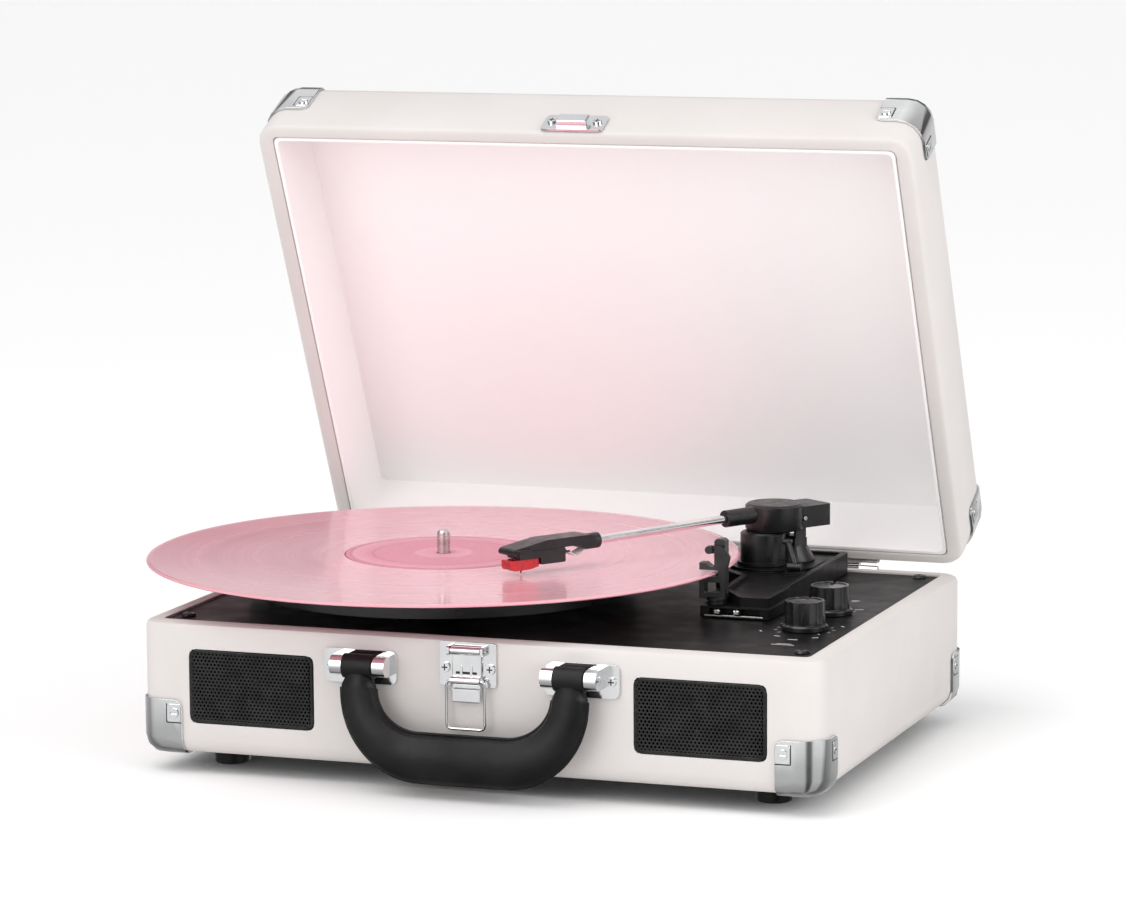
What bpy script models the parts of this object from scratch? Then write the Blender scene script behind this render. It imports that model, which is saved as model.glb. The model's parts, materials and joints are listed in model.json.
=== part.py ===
"""Suitcase record player: opened lid, belt-driven platter with a record, tonearm on the record."""

import math

import bmesh
import bpy
from mathutils import Matrix, Vector

# Driving dimensions in millimetres. X is right, Y is back, Z is up, and z = 0 is the underside of the case.
MM = 0.001
CASE_HX, CASE_HY, CASE_H = 176.0, 127.5, 66.0
WALL = 9.0
CORNER_R, EDGE_R, RIM_R = 11.5, 8.0, 3.0
DECK_Z0, DECK_Z1 = 62.5, 65.0
LID_Z0, LID_Z1 = 66.3, 111.5
LID_OPEN = math.radians(64.84)
HINGE = Vector((0.0, 131.2, 64.2))
HINGE_X, HINGE_W = 114.0, 30.0
SPINDLE = (-59.0, -12.0)
PLATTER_R, RECORD_R, LABEL_R, BELT_R = 100.0, 150.8, 50.0, 78.0
RECORD_Z0, RECORD_Z1 = 85.75, 87.35
PULLEY, PULLEY_R = (-142.0, -43.0), 4.5
ARM = (86.3, 66.7)
ARM_ANGLE = math.radians(56.03)
ARM_T, PITCH_T, PITCH_Z = 153.0, 172.0, 99.2
HANDLE_Y, HANDLE_Z = -137.0, 52.0
LATCH_X = -1.2
GRILLE_X, GRILLE_Z, GRILLE_W, GRILLE_H = 115.9, 34.6, 66.6, 37.2
FEET = {
    "front_left": (-142, -93),
    "front_right": (142, -93),
    "rear_left": (-150, 84),
    "rear_right": (150, 84),
}
SCREWS = ((-159.3, -104.3), (159.3, -104.3), (-157.0, 112.0), (157.0, 112.0))
KNOBS = {"volume_knob": (143.0, -46.0), "mode_knob": (142.3, -1.3)}

for old in list(bpy.data.objects):
    bpy.data.objects.remove(old)

partsBox = bpy.data.collections.new("record_player")
cuttersBox = bpy.data.collections.new("cutters")
cuttersBox.hide_render = True
bpy.context.scene.collection.children.link(partsBox)
bpy.context.scene.collection.children.link(cuttersBox)


def material(name, colour, rough, metal=0.0):
    made = bpy.data.materials.new(name)
    made.use_nodes = True
    shader = made.node_tree.nodes["Principled BSDF"]
    shader.inputs["Base Color"].default_value = (*colour, 1.0)
    shader.inputs["Roughness"].default_value = rough
    shader.inputs["Metallic"].default_value = metal
    made.diffuse_color = (*colour, 1.0)
    return made


OFFWHITE = material("case_leatherette", (0.78, 0.74, 0.71), 0.5)
LINING = material("lid_lining_cloth", (0.86, 0.78, 0.77), 0.8)
BLACK = material("black_plastic", (0.02, 0.02, 0.022), 0.4)
DECK = material("deck_black", (0.03, 0.03, 0.032), 0.45)
CHROME = material("chrome", (0.75, 0.75, 0.76), 0.12, 1.0)
STEEL = material("steel", (0.6, 0.6, 0.6), 0.3, 1.0)
RUBBER = material("rubber", (0.02, 0.02, 0.02), 0.6)
LEATHER = material("handle_leather", (0.03, 0.03, 0.032), 0.55)
VINYL = material("record_vinyl", (0.85, 0.45, 0.52), 0.2)
FELT = material("mat_felt", (0.04, 0.04, 0.04), 0.9)
RED = material("stylus_red", (0.65, 0.02, 0.03), 0.35)
PERFORATED = material("grille_steel", (0.03, 0.03, 0.03), 0.4, 0.5)
PAPER = material("speaker_cone", (0.05, 0.05, 0.05), 0.85)
BOARD = material("board_green", (0.02, 0.18, 0.08), 0.5)


def put(name, mesh, mat, box=None):
    obj = bpy.data.objects.new(name, mesh)
    (box or partsBox).objects.link(obj)
    if mat:
        mesh.materials.append(mat)
    if box is cuttersBox:
        obj.display_type = "WIRE"
    return obj


def finish(name, bm, mat):
    bmesh.ops.recalc_face_normals(bm, faces=bm.faces)
    bmesh.ops.scale(bm, vec=(MM, MM, MM), verts=bm.verts)
    mesh = bpy.data.meshes.new(name)
    bm.to_mesh(mesh)
    bm.free()
    return put(name, mesh, mat, None if mat else cuttersBox)


def box(name, low, high, mat=None, bevel=0.0, segments=2, along=None):
    """A box between two corners. Its edges are rounded, or only those along one axis."""
    bm = bmesh.new()
    bmesh.ops.create_cube(bm, size=1.0)
    for vert in bm.verts:
        vert.co = Vector([(low[i] + high[i]) / 2 + vert.co[i] * (high[i] - low[i]) for i in range(3)])
    if bevel:
        edges = list(bm.edges)
        if along is not None:
            edges = [e for e in edges if abs((e.verts[0].co - e.verts[1].co).normalized()[along]) > 0.9]
        bmesh.ops.bevel(bm, geom=edges, offset=bevel, segments=segments, profile=0.5, affect="EDGES")
    return finish(name, bm, mat)


def edgesAt(bm, z):
    return [e for e in bm.edges if abs(e.verts[0].co.z - z) < 1e-4 and abs(e.verts[1].co.z - z) < 1e-4]


def suitcaseBox(name, grow, z0, z1, filletZ, rimZ, mat=None):
    """A box with round upright corners, a large fillet at one end and a small one at the rim."""
    hx, hy = CASE_HX + grow, CASE_HY + grow
    bm = bmesh.new()
    bmesh.ops.create_cube(bm, size=1.0)
    for vert in bm.verts:
        vert.co = Vector((vert.co.x * 2 * hx, vert.co.y * 2 * hy, z0 if vert.co.z < 0 else z1))
    upright = [e for e in bm.edges if abs(e.verts[0].co.z - e.verts[1].co.z) > 1.0]
    bmesh.ops.bevel(bm, geom=upright, offset=CORNER_R + grow, segments=4, profile=0.5, affect="EDGES")
    rounds = ((filletZ, EDGE_R + grow, 3), (rimZ, RIM_R, 2))
    for z, radius, segments in rounds:
        edges = edgesAt(bm, z)
        bmesh.ops.bevel(bm, geom=edges, offset=radius, segments=segments, profile=0.5, affect="EDGES")
    return finish(name, bm, mat)


def turned(name, profile, mat=None, segments=24, at=(0, 0, 0), axis="Z", loop=False):
    """A turned shape: the profile lists (radius, height) from top to bottom and is swept round the axis."""
    mesh = bpy.data.meshes.new(name)
    count = len(profile)
    edges = [(i, i + 1) for i in range(count - 1)]
    if loop:
        edges.append((count - 1, 0))
    mesh.from_pydata([(r * MM, 0, z * MM) for r, z in profile], edges, [])
    obj = put(name, mesh, mat, None if mat else cuttersBox)
    obj.location = Vector(at) * MM
    if axis == "Y":
        obj.rotation_euler = (math.radians(90), 0, 0)
    screw = obj.modifiers.new("turn", "SCREW")
    screw.steps = segments
    screw.render_steps = segments
    screw.use_merge_vertices = True
    screw.merge_threshold = 0.00001
    return obj


def rod(name, start, end, radius, mat=None, segments=12):
    """A plain cylinder between two points."""
    start, end = Vector(start), Vector(end)
    along = end - start
    bm = bmesh.new()
    bmesh.ops.create_cone(
        bm, cap_ends=True, segments=segments, radius1=radius, radius2=radius, depth=along.length
    )
    turn = along.to_track_quat("Z", "Y").to_matrix().to_4x4()
    bmesh.ops.transform(bm, matrix=Matrix.Translation((start + end) / 2) @ turn, verts=bm.verts)
    return finish(name, bm, mat)


def flat(name, outline, low, high, mat=None, plane="XY", bevel=0.0):
    """An outline extruded between two levels of the third axis."""
    place = {"XY": lambda u, v, w: (u, v, w), "XZ": lambda u, v, w: (u, w, v)}
    bm = bmesh.new()
    face = bm.faces.new([bm.verts.new(place[plane](u, v, low)) for u, v in outline])
    moved = bmesh.ops.extrude_face_region(bm, geom=[face])["geom"]
    tops = [v for v in moved if isinstance(v, bmesh.types.BMVert)]
    bmesh.ops.translate(bm, verts=tops, vec=place[plane](0, 0, high - low))
    if bevel:
        raised = set(tops)
        rims = [e for e in bm.edges if (e.verts[0] in raised) != (e.verts[1] in raised)]
        bmesh.ops.bevel(bm, geom=rims, offset=bevel, segments=1, profile=0.5, affect="EDGES")
    return finish(name, bm, mat)


def rounded(points, radius, steps=3):
    """The outline with each corner rounded."""
    made = []
    count = len(points)
    for i, point in enumerate(points):
        here = Vector(point)
        before = (Vector(points[i - 1]) - here).normalized()
        after = (Vector(points[(i + 1) % count]) - here).normalized()
        reach = radius / math.tan(before.angle(after) / 2)
        start, end = here + before * reach, here + after * reach
        for k in range(steps + 1):
            s = k / steps
            made.append(tuple(start * (1 - s) ** 2 + here * 2 * s * (1 - s) + end * s**2))
    return made


def rectangle(cx, cy, w, h):
    a, b = w / 2, h / 2
    return [(cx - a, cy - b), (cx + a, cy - b), (cx + a, cy + b), (cx - a, cy + b)]


def wire(name, points, radius, mat=None, cyclic=False, sides=2, radii=None):
    """A round wire along a line of points, made a mesh so that it can be joined and cut."""
    curve = bpy.data.curves.new(name, "CURVE")
    curve.dimensions = "3D"
    curve.bevel_depth = radius * MM
    curve.bevel_resolution = sides
    curve.use_fill_caps = True
    line = curve.splines.new("POLY")
    line.points.add(len(points) - 1)
    for i, point in enumerate(points):
        line.points[i].co = (*(Vector(point) * MM), 1.0)
        line.points[i].radius = radii[i] / radius if radii else 1.0
    line.use_cyclic_u = cyclic
    guide = put(name + "_line", curve, None, cuttersBox)
    bpy.context.view_layer.update()
    graph = bpy.context.evaluated_depsgraph_get()
    mesh = bpy.data.meshes.new_from_object(guide.evaluated_get(graph))
    bpy.data.objects.remove(guide)
    bm = bmesh.new()
    bm.from_mesh(mesh)
    bmesh.ops.remove_doubles(bm, verts=bm.verts, dist=1e-6)
    bmesh.ops.scale(bm, vec=(1 / MM, 1 / MM, 1 / MM), verts=bm.verts)
    bpy.data.meshes.remove(mesh)
    return finish(name, bm, mat)


def combine(target, tool, operation):
    if tool.name in partsBox.objects:
        partsBox.objects.unlink(tool)
        cuttersBox.objects.link(tool)
        tool.display_type = "WIRE"
    made = target.modifiers.new(operation.lower() + "_" + tool.name, "BOOLEAN")
    made.operation = operation
    made.solver = "EXACT"
    made.object = tool
    return target


def join(target, *tools):
    for tool in tools:
        combine(target, tool, "UNION")
    return target


def cut(target, *tools):
    for tool in tools:
        combine(target, tool, "DIFFERENCE")
    return target


def frameAt(name, world, turn, parent=None):
    empty = bpy.data.objects.new(name, None)
    empty.empty_display_size = 0.02
    partsBox.objects.link(empty)
    empty.matrix_world = Matrix.Translation(Vector(world) * MM) @ turn
    if parent:
        empty.parent = parent
    return empty


def ride(frame, pivot, *objs):
    """Hangs objects, and what is cut from or joined to them, on a frame whose place in their drawing is pivot."""
    for obj in objs:
        for made in obj.modifiers:
            if made.type == "BOOLEAN" and made.object.parent is None:
                ride(frame, pivot, made.object)
        obj.parent = frame
        obj.location = obj.location - Vector(pivot) * MM


def originTo(obj, point):
    """Moves the origin of an undriven mesh on to its joint axis."""
    shift = Vector(point) * MM - obj.location
    obj.data.transform(Matrix.Translation(-shift))
    obj.location = obj.location + shift


def cross(name, x, y, z, size=1.6):
    """A cross slot for a screw head that faces up."""
    first = box(name + "_a", (x - size, y - 0.35, z - 0.7), (x + size, y + 0.35, z + 1))
    return join(first, box(name + "_b", (x - 0.35, y - size, z - 0.75), (x + 0.35, y + size, z + 1.05)))


# Case: a ring of walls, closed by a bottom panel and a deck plate.
case = suitcaseBox("case_shell", 0.0, 0.0, CASE_H, 0.0, CASE_H, OFFWHITE)
IX, IY = CASE_HX - WALL, CASE_HY - WALL
cut(case, box("case_inside", (-IX, -IY, -5), (IX, IY, 80), None, 3, 2, 2))
for i, (x, y) in enumerate(SCREWS):
    sx, sy = math.copysign(1, x), math.copysign(1, y)
    low = (min(x - 6 * sx, (IX + 2) * sx), min(y - 6 * sy, (IY + 2) * sy), 50)
    high = (max(x - 6 * sx, (IX + 2) * sx), max(y - 6 * sy, (IY + 2) * sy), 62.1)
    post = box(f"screw_post_{i}", low, high)
    join(case, cut(post, rod(f"post_hole_{i}", (x, y, 52), (x, y, 70), 1.7, None, 8)))
for side in (-1, 1):
    hole = rounded(rectangle(GRILLE_X * side, GRILLE_Z, GRILLE_W, GRILLE_H), 4)
    cut(case, flat(f"grille_hole_{side}", hole, -140, -110, None, "XZ"))
cut(case, flat("jack_hole", rounded(rectangle(-70, 33, 60.6, 24.6), 2, 2), 110, 140, None, "XZ"))

bottom = box("bottom_panel", (-IX + 0.3, -IY + 0.3, 0), (IX - 0.3, IY - 0.3, 4), BLACK, 3, 2, 2)

deck = box("deck_plate", (-IX + 0.3, -IY + 0.3, DECK_Z0), (IX - 0.3, IY - 0.3, DECK_Z1), DECK, 3, 2, 2)
join(deck, rod("bearing_boss", (*SPINDLE, 56), (*SPINDLE, 67), 8, None, 24))
cut(deck, rod("spindle_hole", (*SPINDLE, 50), (*SPINDLE, 70), 3.7, None, 20))
cut(deck, rod("motor_hole", (*PULLEY, 50), (*PULLEY, 70), 5.2, None, 16))
cut(deck, rod("arm_wire_hole", (*ARM, 50), (*ARM, 70), 4, None, 12))
for name, (x, y) in KNOBS.items():
    cut(deck, rod(name + "_hole", (x, y, 50), (x, y, 70), 3.5, None, 12))
for i, (x, y) in enumerate(SCREWS):
    cut(deck, rod(f"deck_hole_{i}", (x, y, 50), (x, y, 70), 2.0, None, 8))
for i, where in enumerate(("front_left", "front_right", "rear_left", "rear_right")):
    x, y = SCREWS[i]
    head = [(0, 66.8), (3.2, 66.4), (4.0, 65.3), (1.4, 65.3), (1.4, 54.0), (0, 54.0)]
    screw = turned("deck_screw_" + where, head, STEEL, 10, (x, y, 0))
    cut(screw, cross("cross_" + where, x, y, 66.7))

# Speakers behind perforated steel grilles.
for side, hand in ((-1, "left"), (1, "right")):
    x = GRILLE_X * side
    outline = rounded(rectangle(x, GRILLE_Z, GRILLE_W - 0.6, GRILLE_H - 0.6), 3.8)
    grille = flat("speaker_grille_" + hand, outline, -126.9, -124.4, PERFORATED, "XZ")
    for i in range(7):
        for j in range(3):
            hx, hz = x + (i - 3) * 9, GRILLE_Z + (j - 1) * 11
            low, high = (hx - 3.2, -130, hz - 3.6), (hx + 3.2, -120, hz + 3.6)
            if (i, j) != (3, 1):
                cut(grille, box(f"mesh_hole_{hand}_{i}_{j}", low, high))
    join(grille, rod("grille_screw_" + hand, (x, -127.5, GRILLE_Z), (x, -125, GRILLE_Z), 1.7, None, 10))
    cone = [(0, 8), (5, 7), (8, 9.5), (20, 1.8), (22.5, 0.8), (25, 0), (25, 2), (21.5, 3.5), (13, 13)]
    cone += [(13, 14), (16, 14), (16, 25), (0, 25)]
    turned("speaker_" + hand, [(r, 118.2 - z) for r, z in cone], PAPER, 16, (x, 0, 31.6), "Y")

# Feet under the bottom panel.
for where, (x, y) in FEET.items():
    sole = [(0, -0.3), (9, -0.3), (9, -9.2), (8.2, -10), (3.4, -10), (3.4, -7), (0, -7)]
    turned("foot_" + where, sole, RUBBER, 14, (x, y, 0))

# Pressed corner protectors on the case. Each is a thin skin with a slotted screw tab.
def cornerSkin(name, sx, sy, z0, z1, boxZ0, boxZ1, filletZ, rimZ, high):
    if filletZ < rimZ:
        skin = suitcaseBox(name, 1.3, boxZ0 - 1.3, boxZ1 - 3, boxZ0 - 1.3, 1e6, CHROME)
        inner = suitcaseBox(name + "_inner", 0.3, boxZ0 - 0.3, boxZ1 + 9, boxZ0 - 0.3, 1e6)
    else:
        skin = suitcaseBox(name, 1.3, boxZ0 + 3, boxZ1 + 1.3, boxZ1 + 1.3, 1e6, CHROME)
        inner = suitcaseBox(name + "_inner", 0.3, boxZ0 - 9, boxZ1 + 0.3, boxZ1 + 0.3, 1e6)
    xs = sorted((sx * 153.0, sx * 180.0))
    ys = sorted((sy * 104.0, sy * 132.0))
    keep = box(name + "_keep", (xs[0], ys[0], z0), (xs[1], ys[1], z1), None, 4, 2)
    combine(skin, keep, "INTERSECT")
    cut(skin, inner)
    x = sx * 157.2
    join(skin, rod(name + "_screw", (x, sy * 128.0, high), (x, sy * 129.7, high), 2.6, None, 12))
    near, far = sorted((sy * 129.9, sy * 128.9))
    cut(skin, box(name + "_slot", (x - 1.8, near, high - 0.4), (x + 1.8, far, high + 0.4)))
    return skin


corners = {"front_left": (-1, -1), "front_right": (1, -1), "rear_left": (-1, 1), "rear_right": (1, 1)}
for where, (sx, sy) in corners.items():
    cornerSkin("case_corner_" + where, sx, sy, -4, 27.5, 0, CASE_H, 0, CASE_H, 20.6)

# Latch on the front: a fixed plate, a swinging lever and a wire bail.
X = LATCH_X
plate = flat("latch_plate", rounded(rectangle(X, 54.4, 29.2, 21.8), 1.6, 2), -129.0, -127.8, CHROME, "XZ")
for side in (-1, 1):
    ear = sorted((X + side * 7.9, X + side * 9.4))
    lug = box(f"latch_ear_{side}", (ear[0], -133.6, 59.2), (ear[1], -128.4, 63.8), None, 0.9, 1, 0)
    hole = rod(f"ear_hole_{side}", (X - 12, -131.5, 61.5), (X + 12, -131.5, 61.5), 1.3, None, 10)
    join(plate, cut(lug, hole))
    x = X + side * 11.6
    join(plate, rod(f"latch_screw_{side}", (x, -130.2, 52.6), (x, -128.4, 52.6), 2.6, None, 12))

lever = box("latch_lever", (X - 7.5, -131.0, 39), (X + 7.5, -129.6, 61.2), CHROME, 0.4, 1)
join(lever, rod("lever_roll", (X - 7.5, -131.5, 61.5), (X + 7.5, -131.5, 61.5), 2.1, None, 14))
join(lever, rod("lever_pin", (X - 9.9, -131.5, 61.5), (X + 9.9, -131.5, 61.5), 1.0, None, 10))
join(lever, rod("lever_eye", (X - 7.4, -132.1, 47), (X + 7.4, -132.1, 47), 2.1, None, 12))
join(lever, box("lever_tongue", (X - 7.2, -132.4, 36.2), (X + 7.2, -131.0, 43.2), None, 0.6, 1))
join(lever, box("lever_bend", (X - 6.9, -132.0, 39.3), (X + 6.9, -130.2, 42.4)))
cut(lever, rod("eye_bore", (X - 9, -132.1, 47), (X + 9, -132.1, 47), 1.25, None, 10))
originTo(lever, (X, -131.5, 61.5))
loop = rounded([(X - 9.8, 47), (X - 9.8, 23.2), (X + 9.8, 23.2), (X + 9.8, 47)], 2.6, 3)
bail = wire("latch_bail", [(u, -132.1, v) for u, v in loop], 0.9, CHROME, True, 1)
originTo(bail, (X, -132.1, 47))

# Handle on two plated mounts, hanging down on its pins.
for side, hand in ((-1, "left"), (1, "right")):
    a, b = sorted((side * 38.2, side * 76.2))
    tall = rounded(rectangle((a + b) / 2, 50.3, b - a, 16.6), 3.5, 3)
    mount = flat("handle_mount_" + hand, tall, -129.3, -127.8, CHROME, "XZ")
    for i, (near, far) in enumerate(((40.0, 46.3), (62.3, 68.5))):
        c, d = sorted((side * near, side * far))
        block = box(f"barrel_block_{hand}_{i}", (c, -137, 47), (d, -128.5, 57), None)
        join(mount, block)
        barrel = rod(f"barrel_{hand}_{i}", (c, HANDLE_Y, HANDLE_Z), (d, HANDLE_Y, HANDLE_Z), 5.01, None, 16)
        join(mount, barrel)
    inner, outer = (side * 45, HANDLE_Y, HANDLE_Z), (side * 64, HANDLE_Y, HANDLE_Z)
    join(mount, rod("handle_pin_" + hand, inner, outer, 2.2, None, 12))
    x = side * 72.3
    join(mount, rod("mount_screw_" + hand, (x, -130.4, 50.3), (x, -129, 50.3), 2.4, None, 12))

path, thick = [], []
for z, y, r in ((54.0, -137.0, 7.4), (46.0, -137.4, 7.7), (43.0, -138.0, 9.0)):
    path.append((54.3, y, z))
    thick.append(r)
for i in range(9):
    turn = i / 8 * math.pi / 2
    path.append((22.3 + 32 * math.cos(turn), -138.2 - 2.8 * math.sin(turn), 41.5 - 32 * math.sin(turn)))
    thick.append(9.3 + 3.0 * math.sin(turn) ** 1.5)
path += [(-x, y, z) for x, y, z in reversed(path)]
thick += list(reversed(thick))
handle = wire("carry_handle", path, 10, LEATHER, False, 3, thick)
for vert in handle.data.vertices:
    near = min(path, key=lambda p: (p[0] - vert.co.x / MM) ** 2 + (p[2] - vert.co.z / MM) ** 2)
    vert.co.y = (near[1] + (vert.co.y / MM - near[1]) * 0.68) * MM
for side in (-1, 1):
    a, b = sorted((side * 46.7, side * 61.9))
    eye = rod(f"handle_eye_{side}", (a, HANDLE_Y, HANDLE_Z), (b, HANDLE_Y, HANDLE_Z), 6.1, None, 16)
    join(handle, eye)
    inner, outer = (side * 40, HANDLE_Y, HANDLE_Z), (side * 70, HANDLE_Y, HANDLE_Z)
    cut(handle, rod(f"handle_bore_{side}", inner, outer, 2.6))
    for which, ends in (("a", (38, 46.7)), ("b", (61.9, 72))):
        a, b = sorted((side * ends[0], side * ends[1]))
        cut(handle, box(f"handle_trim_{side}{which}", (a, -150, 44.5), (b, -120, 62)))
originTo(handle, (0, HANDLE_Y, HANDLE_Z))

# Case half of each hinge, with its pin.
for side, hand in ((-1, "left"), (1, "right")):
    x0, x1 = side * HINGE_X - HINGE_W / 2, side * HINGE_X + HINGE_W / 2
    leaf = box("hinge_case_leaf_" + hand, (x0, 127.8, 46), (x1, 129.0, 61), CHROME, 1.5, 2, 1)
    for i, (a, b) in enumerate(((x0, x0 + 9.7), (x1 - 9.7, x1))):
        join(leaf, box(f"case_knuckle_{hand}_{i}", (a, 127.8, 60), (b, 130.6, 64.0)))
        join(leaf, rod(f"case_barrel_{hand}_{i}", (a, *HINGE[1:]), (b, *HINGE[1:]), 2.4, None, 10))
    join(leaf, rod("hinge_pin_" + hand, (x0 + 1, *HINGE[1:]), (x1 - 1, *HINGE[1:]), 1.2, None, 12))
    for i, dx in enumerate((-9, 9)):
        x = side * HINGE_X + dx
        join(leaf, rod(f"case_leaf_screw_{hand}_{i}", (x, 128.4, 52), (x, 129.9, 52), 2.2, None, 8))

# Belt drive: motor under the deck, pulley, belt, platter, mat, spindle and record.
shaft = [(0, 79.5), (3.2, 79.5), (PULLEY_R, 78.6), (PULLEY_R - 0.3, 75), (PULLEY_R, 71.5), (3.2, 70.5)]
shaft += [(1.4, 70.5), (1.4, 52), (0, 52)]
turned("motor_pulley", shaft, STEEL, 14, (*PULLEY, 0))
body = [(1.8, 64.4), (4.6, 64.4), (4.6, 61.6), (14, 61.6), (15, 60.6), (15, 36), (14, 35), (1.8, 35)]
turned("drive_motor", body, STEEL, 16, (*PULLEY, 0), "Z", True)


def beltLoop(r1, r2):
    """The outline of a belt round the platter's ring and the pulley."""
    a, b = Vector(SPINDLE), Vector(PULLEY)
    way = math.atan2(b.y - a.y, b.x - a.x)
    lean = math.acos((r1 - r2) / (b - a).length)
    points = []
    for i in range(33):
        turn = way + lean + (math.tau - 2 * lean) * i / 32
        points.append((a.x + r1 * math.cos(turn), a.y + r1 * math.sin(turn)))
    for i in range(9):
        turn = way - lean + 2 * lean * i / 8
        points.append((b.x + r2 * math.cos(turn), b.y + r2 * math.sin(turn)))
    return points


belt = flat("drive_belt", beltLoop(BELT_R + 1.3, PULLEY_R + 1.4), 73, 77, RUBBER)
cut(belt, flat("belt_inside", beltLoop(BELT_R + 0.5, PULLEY_R + 0.5), 70, 80))

hub = [(3.7, 83.3), (98.6, 83.3), (PLATTER_R, 81.9), (PLATTER_R, 71), (97, 71), (97, 80), (BELT_R, 80)]
hub += [(BELT_R, 72), (BELT_R - 2.5, 72), (BELT_R - 2.5, 80), (10, 80), (9, 68.5), (3.7, 68.5)]
turned("platter", hub, BLACK, 40, (*SPINDLE, 0), "Z", True)
felt = [(3.7, 85.45), (99.2, 85.45), (99.8, 83.6), (3.7, 83.6)]
turned("slip_mat", felt, FELT, 40, (*SPINDLE, 0), "Z", True)
groove = [(3.7, RECORD_Z1), (LABEL_R, RECORD_Z1), (LABEL_R + 0.4, 87.15), (149.6, 87.15)]
groove += [(RECORD_R, 86.55), (149.6, RECORD_Z0), (3.7, RECORD_Z0)]
turned("record", groove, VINYL, 64, (*SPINDLE, 0), "Z", True)
post = [(0, 99.2), (2.4, 98.9), (3.3, 97.6), (3.3, 57), (0, 57)]
turned("spindle", post, STEEL, 16, (*SPINDLE, 0))

# Amplifier board inside the case, and the jacks on the rear wall.
board = box("circuit_board", (40, 55, 9), (130, 105, 10.6), BOARD)
for i, (x, y) in enumerate(((44, 59), (126, 59), (44, 101), (126, 101))):
    join(board, rod(f"standoff_{i}", (x, y, 4.3), (x, y, 9.5), 2.5, None, 8))
join(board, box("amplifier_chip", (60, 70, 10), (76, 80, 14)))
join(board, rod("capacitor_a", (95, 75, 10), (95, 75, 24), 5, None, 12))
join(board, rod("capacitor_b", (110, 75, 10), (110, 75, 20), 4, None, 12))

panel = flat("rear_jack_panel", rounded(rectangle(-70, 33, 60, 24), 1.8, 2), 124.4, 126.8, BLACK, "XZ")
for i, x in enumerate((-90, -76)):
    rca = rod(f"phono_jack_{i}", (x, 126, 33), (x, 133, 33), 4.1, None, 16)
    cut(rca, rod(f"phono_bore_{i}", (x, 128.5, 33), (x, 136, 33), 1.7, None, 10))
    join(panel, rca)
power = rod("power_jack", (-55, 126, 33), (-55, 128.6, 33), 5, None, 16)
cut(power, rod("power_bore", (-55, 121.0, 33), (-55, 132, 33), 2.9, None, 12))
join(panel, power)
cut(panel, rod("power_hole", (-55, 120, 33), (-55, 130, 33), 2.9, None, 12))

# Control knobs: fluted body on a flange, with a pointer groove and a shaft through the deck.
for name, (x, y) in KNOBS.items():
    rim = []
    for i in range(30):
        r = 10.0 if i % 2 else 9.3
        rim.append((r * math.cos(i * math.tau / 30), r * math.sin(i * math.tau / 30)))
    knob = flat(name, rim, 67.4, 79.7, BLACK)
    flange = [(0, 68.2), (10.6, 68.2), (11.5, 67.4), (11.5, 65.4), (3, 65.4), (3, 58), (0, 58)]
    join(knob, turned(name + "_flange", flange, None, 18))
    cut(knob, turned(name + "_dish", [(0, 82), (8.4, 82), (8.4, 79.2), (0, 78.9)], None, 14))
    cut(knob, box(name + "_pointer", (-0.6, 3.0, 78.2), (0.6, 12, 82)))
    ride(frameAt(name + "_axis", (x, y, 0), Matrix()), (0, 0, 0), knob)

# Tonearm base: a low front tier with the switch slot, and a higher tier that carries the turret.
tier = [(84, -31), (120.6, -31), (120.6, 0), (84, 0)]
plinth = flat("tonearm_plinth", rounded(tier, 1.2, 2), 65.3, 71, DECK)
upper = [(95, -17), (104, -29.5), (119.5, -29.5), (119.5, 4), (118, 9), (118, 115)]
upper += [(66, 115), (66, 50), (86, 30), (88, -10)]
join(plinth, flat("upper_tier", rounded(upper, 2.4, 2), 65.3, 76.2))
inner = [(98, -14), (105.5, -26), (116, -26), (116, 4), (114.5, 9), (114.5, 111.5)]
inner += [(69.5, 111.5), (69.5, 52), (89.5, 32), (91.5, -9)]
cut(plinth, flat("tier_recess", rounded(inner, 1.5, 1), 74.7, 80))
join(plinth, rod("turret_ring", (91, 73, 70), (91, 73, 76.1), 24.5, None, 32))
join(plinth, box("cue_pad", (104, 44.5, 70), (114, 51.5, 76.1)))
cut(plinth, rod("turret_bore", (*ARM, 67), (*ARM, 80), 5.5, None, 20))
cut(plinth, box("switch_slot", (89, -35, 67.2), (115, -27, 70.2)))
for name, x in (("speed_switch", 93.6), ("auto_stop_switch", 103.5)):
    slider = box(name, (x - 1.6, -33.2, 67.6), (x + 1.6, -27.4, 69.8), BLACK, 0.4, 1)
    cut(slider, box(name + "_notch", (x - 0.3, -34, 69.2), (x + 0.3, -31, 71)))
    originTo(slider, (x, -30, 68.7))

# Arm rest with its swinging clip.
restSide = [(82.5, 74), (96.1, 74), (96.1, 103), (94.8, 104.2), (91.6, 104.2), (90.4, 103)]
restSide += [(90.4, 91.2), (89.6, 90.1), (88.2, 90.1), (85.7, 92), (82.6, 92), (82.6, 88.4)]
restSide += [(92.3, 88.4), (92.3, 84.7), (82.5, 84.7)]
rest = flat("arm_rest", restSide, -27, -21, BLACK, "XZ")
foot = [(0, 75), (4.4, 75), (5.2, 74.4), (5.2, 73.2), (4.5, 73)]
foot += [(4.5, 72.6), (5.2, 72.4), (5.2, 71.3), (0, 71.3)]
join(rest, turned("rest_foot", foot, None, 14, (90.8, -24, 0)))
cut(rest, box("rest_window", (85.2, -30, 77), (93.4, -18, 82.2)))
cut(rest, rod("clip_bore", (93.2, -30, 99), (93.2, -18, 99), 1.4, None, 12))
clipSide = [(86.6, 97.9), (86.6, 100.1), (87.8, 101), (94.6, 101), (97.6, 98.4), (99.2, 95.6)]
clipSide += [(98.4, 92), (96.9, 88.4), (96.2, 90.5), (95.4, 96.6), (91, 97.2), (88, 96.9)]
clip = flat("rest_clip", clipSide, -28.8, -27.3, BLACK, "XZ")
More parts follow.
